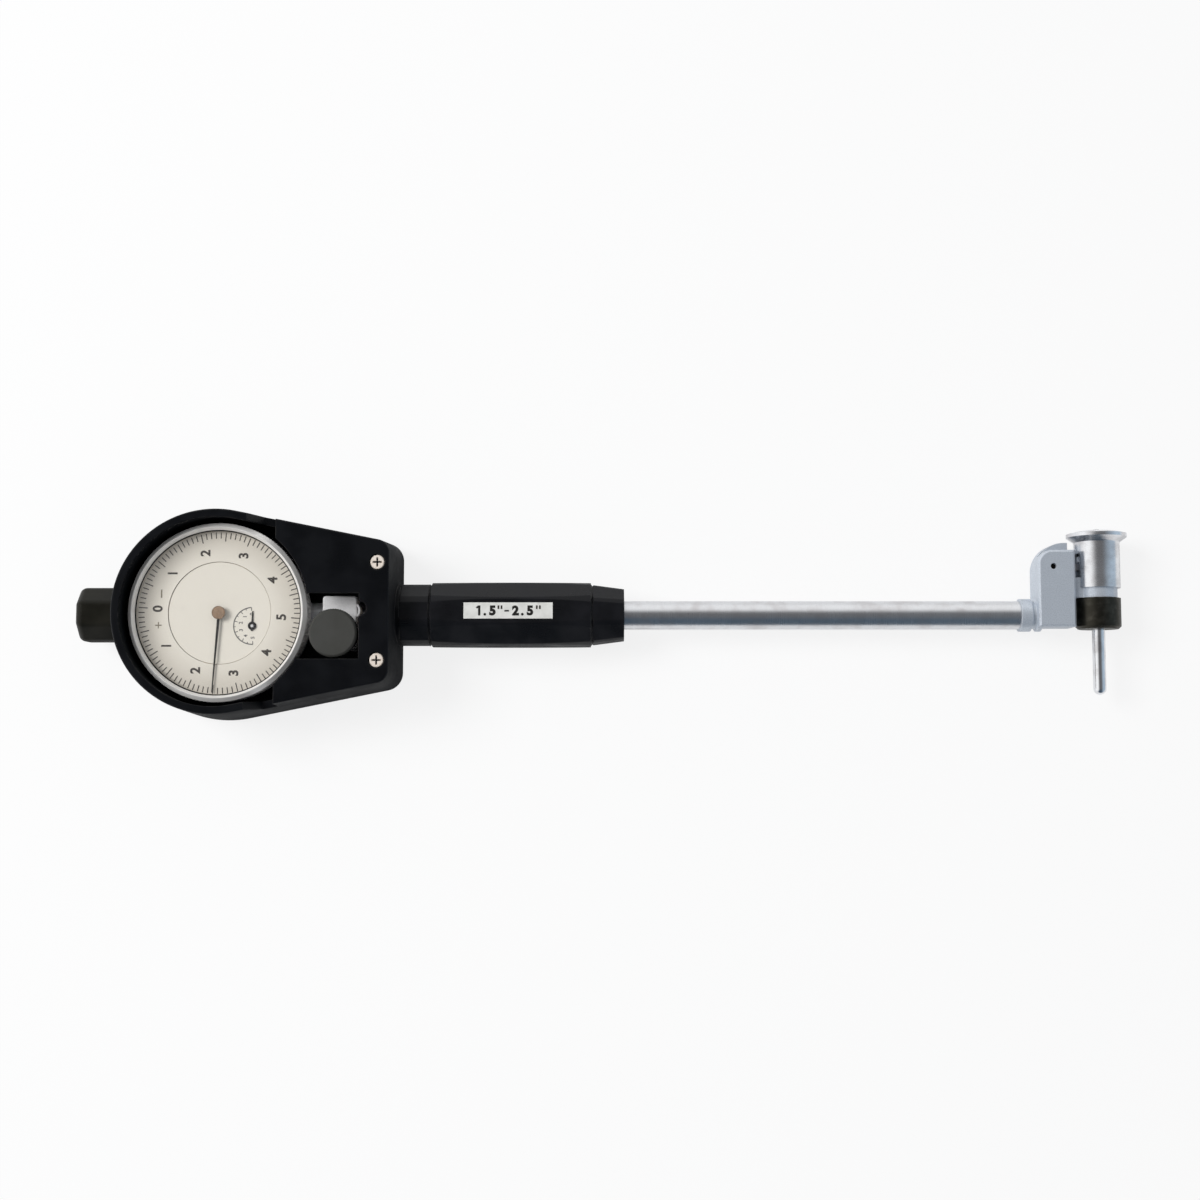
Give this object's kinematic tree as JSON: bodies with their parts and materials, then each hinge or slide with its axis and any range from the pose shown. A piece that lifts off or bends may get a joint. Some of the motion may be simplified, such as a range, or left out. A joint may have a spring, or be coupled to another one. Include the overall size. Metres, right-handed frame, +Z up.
{
  "type": "dial bore gauge",
  "caption": "Two-point dial bore gauge: dial in a black guard, faceted grip, slim tube and a head with a sprung guide cup and an exchangeable anvil.",
  "frame": {"origin": "on the back of the cover, under the centre of the dial", "axes": "+X along the gauge from the dial to the measuring head, +Y towards the guide cup, +Z up through the dial"},
  "size_m": [0.3322, 0.0664, 0.03],
  "materials": {
    "cover_black": "moulded, satin gloss",
    "grip_black": "moulded, satin",
    "knob_grey": "matt",
    "label_white": "printed plate",
    "polished_steel": "polished",
    "satin_grey": "satin plated",
    "case_steel": "satin",
    "tool_steel": "ground",
    "screw_steel": "plated",
    "spring_steel": "drawn",
    "brass": "turned",
    "nut_black": "blackened",
    "dial_white": "printed enamel",
    "hand_black": "matt",
    "crystal_clear": "clear"
  },
  "bodies": {
    "gauge_frame": {"cover_rear": "cover_black", "cover_front": "cover_black", "end_cap": "cover_black", "handle_grip": "grip_black", "range_label": "label_white", "tube": "polished_steel", "anvil_rod": "polished_steel", "dial_stem": "polished_steel", "head_body": "satin_grey", "clamp_block": "satin_grey", "dial_case": "case_steel", "dial_back": "case_steel", "lever_pin": "tool_steel", "cover_screws": "screw_steel", "cap_screw": "screw_steel", "back_screws": "screw_steel", "tube_nut": "screw_steel", "guide_spring": "spring_steel", "rod_spring": "spring_steel", "hairspring": "spring_steel", "contact_bush": "brass", "rod_bushes": "brass", "spindle_bush": "brass", "hand_bush": "brass", "movement_back_plate": "brass", "movement_front_plate": "brass", "movement_pillars": "brass", "dial_plate": "dial_white"},
    "contact": {"contact_plunger": "tool_steel", "contact_tip": "polished_steel"},
    "guide": {"guide_cup": "polished_steel"},
    "lever": {"bell_crank": "tool_steel"},
    "rod": {"push_rod": "tool_steel"},
    "rack_spindle": {"spindle": "tool_steel", "spindle_tip": "tool_steel"},
    "counter_train": {"rack_arbor": "brass", "counter_hand": "hand_black"},
    "takeup": {"takeup_arbor": "brass"},
    "hand": {"hand_arbor": "brass", "main_hand": "hand_black"},
    "bezel_ring": {"bezel": "polished_steel", "crystal": "crystal_clear", "dial_ring": "dial_white"},
    "knob": {"clamp_knob": "knob_grey", "clamp_screw": "tool_steel"},
    "anvil_lock": {"anvil_nut": "nut_black"}
  },
  "joints": [
    {"name": "contact_slide", "type": "slide", "parent": "gauge_frame", "child": "contact", "axis": [0, -1, 0], "range_m": [0, 0.0012]},
    {"name": "hand_turn", "type": "hinge", "parent": "gauge_frame", "child": "hand", "pos_m": [0, 0, 0.011], "axis": [0, 0, -1], "range_deg": [0, 340.2]},
    {"name": "lever_pivot", "type": "hinge", "parent": "gauge_frame", "child": "lever", "pos_m": [0.26175, 0.0152, 0.011], "axis": [0, 0, -1], "range_deg": [0, 4.6]},
    {"name": "push_rod_slide", "type": "slide", "parent": "gauge_frame", "child": "rod", "axis": [-1, 0, 0], "range_m": [0, 0.0012], "stiffness_N_per_m": 300, "springref_m": -0.006, "deforming": ["rod_spring"]},
    {"name": "spindle_slide", "type": "slide", "parent": "gauge_frame", "child": "rack_spindle", "axis": [-1, 0, 0], "range_m": [0, 0.0012]},
    {"name": "counter_turn", "type": "hinge", "parent": "gauge_frame", "child": "counter_train", "pos_m": [0.01021, -0.00402, 0.011], "axis": [0, 0, 1], "range_deg": [0, 34.2]},
    {"name": "takeup_turn", "type": "hinge", "parent": "gauge_frame", "child": "takeup", "pos_m": [-0.01021, 0.00402, 0.011], "axis": [0, 0, 1], "range_deg": [0, 34.2], "deforming": ["hairspring"]},
    {"name": "guide_slide", "type": "slide", "parent": "gauge_frame", "child": "guide", "axis": [0, -1, 0], "range_m": [0, 0.0025], "stiffness_N_per_m": 600, "springref_m": -0.008, "deforming": ["guide_spring"]},
    {"name": "bezel_turn", "type": "hinge", "parent": "gauge_frame", "child": "bezel_ring", "pos_m": [0, 0, 0.011], "axis": [0, 0, 1], "continuous": true},
    {"name": "clamp_turn", "type": "hinge", "parent": "gauge_frame", "child": "knob", "pos_m": [0.03665, -0.0067, 0.011], "axis": [0, 0, 1], "range_deg": [0, 270]},
    {"name": "anvil_nut_turn", "type": "hinge", "parent": "gauge_frame", "child": "anvil_lock", "pos_m": [0.27695, 0, 0.011], "axis": [0, -1, 0], "range_deg": [0, 360]}
  ],
  "couplings": [
    {"joint": "push_rod_slide", "follows": "contact_slide", "ratio": 1},
    {"joint": "spindle_slide", "follows": "contact_slide", "ratio": 1},
    {"joint": "lever_pivot", "follows": "contact_slide", "rad_per_m": 65.789},
    {"joint": "counter_turn", "follows": "contact_slide", "rad_per_m": 494.74},
    {"joint": "takeup_turn", "follows": "contact_slide", "rad_per_m": 494.74},
    {"joint": "hand_turn", "follows": "contact_slide", "rad_per_m": 4947.4}
  ]
}
